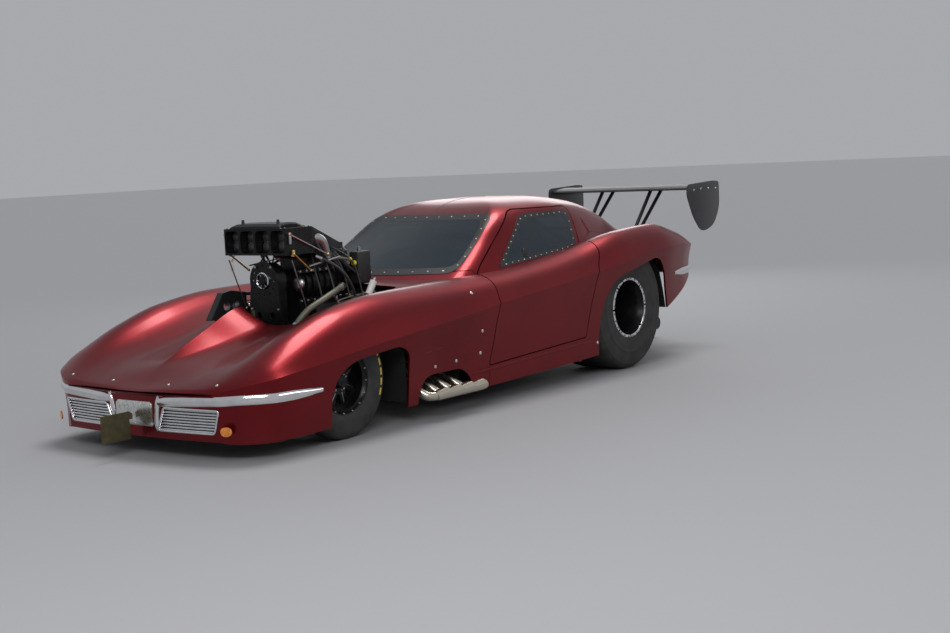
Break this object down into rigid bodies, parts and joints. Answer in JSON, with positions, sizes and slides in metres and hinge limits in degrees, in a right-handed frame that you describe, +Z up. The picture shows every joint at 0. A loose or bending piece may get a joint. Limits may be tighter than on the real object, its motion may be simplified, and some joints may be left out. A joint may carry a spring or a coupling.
{
  "type": "drag racing car",
  "caption": "Low coupe-bodied drag racing car on a tube frame, with a blown engine through the hood, slicks, rear wing and wheelie bar.",
  "frame": {"origin": "on the ground at the centre of the car's overall box", "axes": "+X forward, +Y to the car's left, +Z up"},
  "size_m": [5.78, 2.0244, 1.275],
  "materials": {
    "candy_paint": "satin",
    "window": "clear",
    "chrome_trim": "polished",
    "amber_lamp": "gloss",
    "staging_paint": "matte",
    "frame_paint": "satin",
    "carbon_panel": "satin",
    "cast_engine": "cast",
    "black_engine": "satin",
    "bare_aluminium": "machined",
    "header_steel": "satin",
    "steel": "satin",
    "black_wheel": "gloss",
    "tyre_rubber": "matte",
    "pack_fabric": "woven",
    "seat_shell": "satin"
  },
  "bodies": {
    "root": {"front_clip": "candy_paint", "cabin_shell": "candy_paint", "windshield": "window", "rear_window": "window", "bumpers": "chrome_trim", "nose_panel": "chrome_trim", "marker_lamps": "amber_lamp", "grilles": "chrome_trim", "staging_plate": "staging_paint", "frame_rails": "frame_paint", "cross_members": "frame_paint", "strut_towers": "frame_paint", "roll_cage": "frame_paint", "floor_pan": "carbon_panel", "bulkheads": "carbon_panel", "dashboard": "carbon_panel", "steering_wheel": "carbon_panel", "driver_seat": "seat_shell", "engine_block": "cast_engine", "cylinder_heads": "cast_engine", "valve_covers": "black_engine", "intake_manifold": "black_engine", "blower": "black_engine", "blower_drive": "black_engine", "injector_hat": "black_engine", "exhaust_headers": "header_steel", "front_suspension": "frame_paint", "axle_housing": "frame_paint", "rear_suspension": "frame_paint", "gearbox": "bare_aluminium", "driveshaft": "steel", "fuel_tank": "bare_aluminium", "wing": "carbon_panel", "wing_end_plates": "carbon_panel", "wing_struts": "bare_aluminium", "parachute_mount": "frame_paint", "parachute_packs": "pack_fabric", "wheelie_bar": "frame_paint"},
    "door_left": {"door_left": "candy_paint", "door_window_left": "window"},
    "door_right": {"door_right": "candy_paint", "door_window_right": "window"},
    "knuckle_left": {"knuckle_left": "bare_aluminium"},
    "knuckle_right": {"knuckle_right": "bare_aluminium"},
    "steering_link": {"tie_rod": "steel"},
    "front_wheel_left": {"front_rim_left": "black_wheel", "front_tyre_left": "tyre_rubber"},
    "front_wheel_right": {"front_rim_right": "black_wheel", "front_tyre_right": "tyre_rubber"},
    "rear_axle": {"axle_shaft": "steel", "rear_rims": "bare_aluminium", "rear_tyres": "tyre_rubber"},
    "wheelie_wheels": {"wheelie_wheels": "black_wheel"}
  },
  "joints": [
    {"name": "door_left_hinge", "type": "hinge", "parent": "root", "child": "door_left", "pos_m": [0.37, 0.87, 0.45], "axis": [0, 0, -1], "range_deg": [0, 55]},
    {"name": "steer_left", "type": "hinge", "parent": "root", "child": "knuckle_left", "pos_m": [1.81, 0.655, 0.33], "axis": [0, 0, 1], "range_deg": [-10, 10]},
    {"name": "front_wheel_left_spin", "type": "hinge", "parent": "knuckle_left", "child": "front_wheel_left", "pos_m": [1.81, 0.769, 0.33], "axis": [0, 1, 0], "continuous": true},
    {"name": "door_right_hinge", "type": "hinge", "parent": "root", "child": "door_right", "pos_m": [0.37, -0.87, 0.45], "axis": [0, 0, 1], "range_deg": [0, 55]},
    {"name": "steer_right", "type": "hinge", "parent": "root", "child": "knuckle_right", "pos_m": [1.81, -0.655, 0.33], "axis": [0, 0, 1], "range_deg": [-10, 10]},
    {"name": "front_wheel_right_spin", "type": "hinge", "parent": "knuckle_right", "child": "front_wheel_right", "pos_m": [1.81, -0.769, 0.33], "axis": [0, 1, 0], "continuous": true},
    {"name": "tie_rod_slide", "type": "slide", "parent": "root", "child": "steering_link", "axis": [0, 1, 0], "range_m": [-0.018, 0.018]},
    {"name": "rear_axle_spin", "type": "hinge", "parent": "root", "child": "rear_axle", "pos_m": [-1.11, 0, 0.438], "axis": [0, 1, 0], "continuous": true},
    {"name": "wheelie_wheels_spin", "type": "hinge", "parent": "root", "child": "wheelie_wheels", "pos_m": [-2.71, 0, 0.12], "axis": [0, 1, 0], "continuous": true}
  ],
  "couplings": [
    {"joint": "steer_right", "follows": "steer_left", "ratio": 1},
    {"joint": "tie_rod_slide", "follows": "steer_left", "m_per_rad": -0.1}
  ]
}
